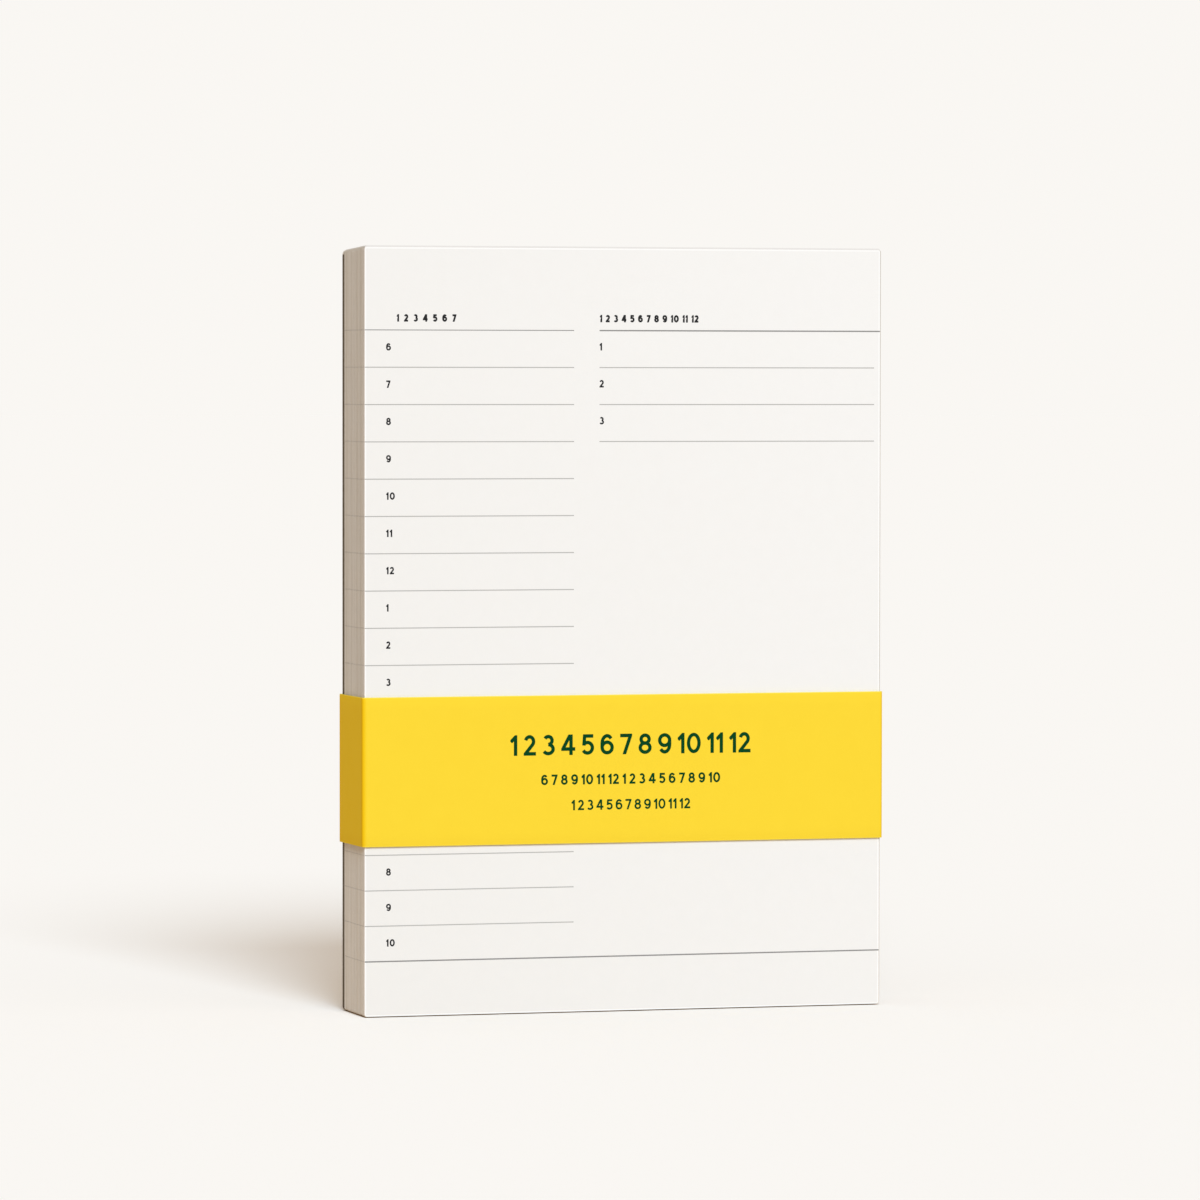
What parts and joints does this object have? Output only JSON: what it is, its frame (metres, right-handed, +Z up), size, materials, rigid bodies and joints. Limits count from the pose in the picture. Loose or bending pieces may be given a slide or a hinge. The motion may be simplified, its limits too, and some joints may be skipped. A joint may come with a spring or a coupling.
{
  "type": "daily planner pad",
  "caption": "Thick tear-off planner pad of ruled sheets glued at the head to a back board, with a folded paper belly band that slides off.",
  "frame": {"origin": "middle of the planner's outline on the surface it stands on", "axes": "+X to the right as the first sheet is read, +Y from the first sheet back to the board, +Z up towards the glued head"},
  "size_m": [0.1494, 0.026, 0.2104],
  "materials": {
    "sheet_paper": "uncoated white writing paper, trimmed edges",
    "padding_glue": "dried white padding compound, thin film",
    "greyboard": "unlined recycled board, brown-grey",
    "band_paper": "uncoated yellow card, folded",
    "seam_glue": "dried glue between the ends of the band"
  },
  "bodies": {
    "pad": {"sheets_011_015": "sheet_paper", "sheets_016_020": "sheet_paper", "sheets_021_025": "sheet_paper", "sheets_026_030": "sheet_paper", "sheets_031_035": "sheet_paper", "sheets_036_040": "sheet_paper", "sheets_041_045": "sheet_paper", "sheets_046_050": "sheet_paper", "sheets_051_055": "sheet_paper", "sheets_056_060": "sheet_paper", "sheets_061_065": "sheet_paper", "sheets_066_070": "sheet_paper", "sheets_071_075": "sheet_paper", "sheets_076_080": "sheet_paper", "sheets_081_085": "sheet_paper", "sheets_086_090": "sheet_paper", "sheets_091_095": "sheet_paper", "sheets_096_100": "sheet_paper", "head_glue": "padding_glue", "back_board": "greyboard"},
    "band": {"belly_band": "band_paper", "band_seam_glue": "seam_glue"},
    "tear_off_001": {"sheet_001": "sheet_paper", "sheet_001_glue": "padding_glue"},
    "tear_off_002": {"sheet_002": "sheet_paper", "sheet_002_glue": "padding_glue"},
    "tear_off_003": {"sheet_003": "sheet_paper", "sheet_003_glue": "padding_glue"},
    "tear_off_004": {"sheet_004": "sheet_paper", "sheet_004_glue": "padding_glue"},
    "tear_off_005": {"sheet_005": "sheet_paper", "sheet_005_glue": "padding_glue"},
    "tear_off_006": {"sheet_006": "sheet_paper", "sheet_006_glue": "padding_glue"},
    "tear_off_007": {"sheet_007": "sheet_paper", "sheet_007_glue": "padding_glue"},
    "tear_off_008": {"sheet_008": "sheet_paper", "sheet_008_glue": "padding_glue"},
    "tear_off_009": {"sheet_009": "sheet_paper", "sheet_009_glue": "padding_glue"},
    "tear_off_010": {"sheet_010": "sheet_paper", "sheet_010_glue": "padding_glue"}
  },
  "joints": [
    {"name": "band_slide", "type": "slide", "parent": "pad", "child": "band", "axis": [0, 0, 1], "range_m": [-0.046, 0.168]},
    {"name": "sheet_001_draw", "type": "slide", "parent": "pad", "child": "tear_off_001", "axis": [0, 0, 1], "range_m": [0, 0.215]},
    {"name": "sheet_002_draw", "type": "slide", "parent": "pad", "child": "tear_off_002", "axis": [0, 0, 1], "range_m": [0, 0.215]},
    {"name": "sheet_003_draw", "type": "slide", "parent": "pad", "child": "tear_off_003", "axis": [0, 0, 1], "range_m": [0, 0.215]},
    {"name": "sheet_004_draw", "type": "slide", "parent": "pad", "child": "tear_off_004", "axis": [0, 0, 1], "range_m": [0, 0.215]},
    {"name": "sheet_005_draw", "type": "slide", "parent": "pad", "child": "tear_off_005", "axis": [0, 0, 1], "range_m": [0, 0.215]},
    {"name": "sheet_006_draw", "type": "slide", "parent": "pad", "child": "tear_off_006", "axis": [0, 0, 1], "range_m": [0, 0.215]},
    {"name": "sheet_007_draw", "type": "slide", "parent": "pad", "child": "tear_off_007", "axis": [0, 0, 1], "range_m": [0, 0.215]},
    {"name": "sheet_008_draw", "type": "slide", "parent": "pad", "child": "tear_off_008", "axis": [0, 0, 1], "range_m": [0, 0.215]},
    {"name": "sheet_009_draw", "type": "slide", "parent": "pad", "child": "tear_off_009", "axis": [0, 0, 1], "range_m": [0, 0.215]},
    {"name": "sheet_010_draw", "type": "slide", "parent": "pad", "child": "tear_off_010", "axis": [0, 0, 1], "range_m": [0, 0.215]}
  ]
}
